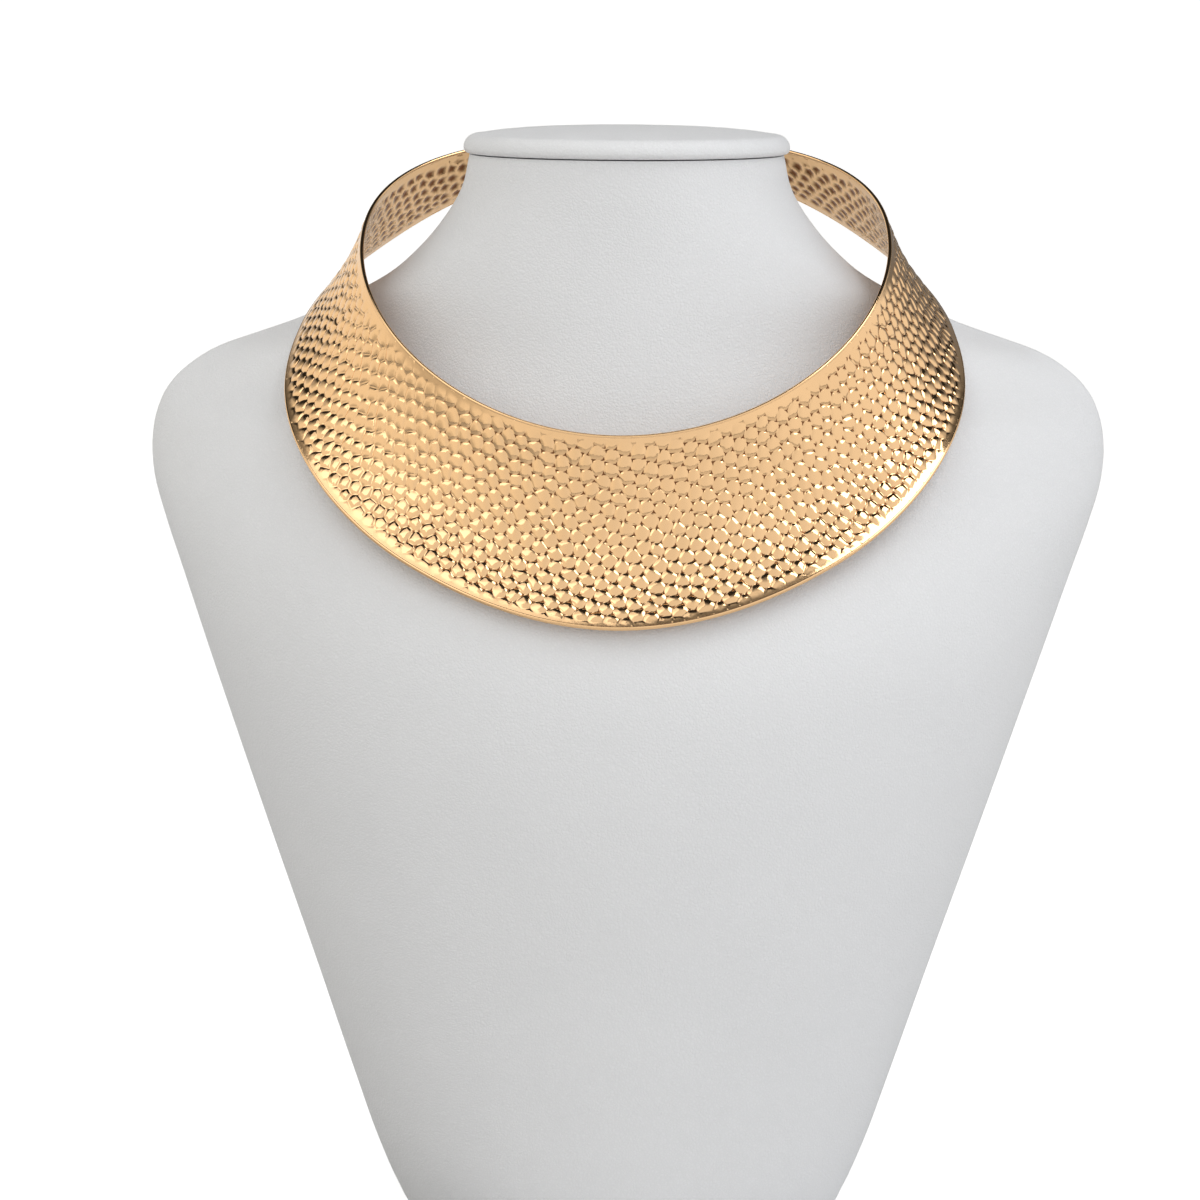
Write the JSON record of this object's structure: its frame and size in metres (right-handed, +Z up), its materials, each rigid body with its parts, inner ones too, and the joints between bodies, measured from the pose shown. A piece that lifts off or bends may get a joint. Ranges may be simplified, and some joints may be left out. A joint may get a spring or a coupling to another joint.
{
  "type": "hammered collar choker necklace on neck bust",
  "caption": "Rigid flared collar choker of hammered gold-coloured sheet, open at the nape, worn by a plain padded neck bust.",
  "frame": {"origin": "middle of the bust's flat underside", "axes": "+Z up through the neck, -Y the front of the bust, +X the viewer's right as they face it"},
  "size_m": [0.2238, 0.1269, 0.2555],
  "materials": {
    "gold": "mirror-polished, hammered all over in small round dimples inside smooth rims",
    "leatherette": "matte off-white with a fine grain"
  },
  "bodies": {
    "root": {"collar": "gold", "bust_body": "leatherette", "neck_cap": "leatherette"}
  },
  "joints": []
}
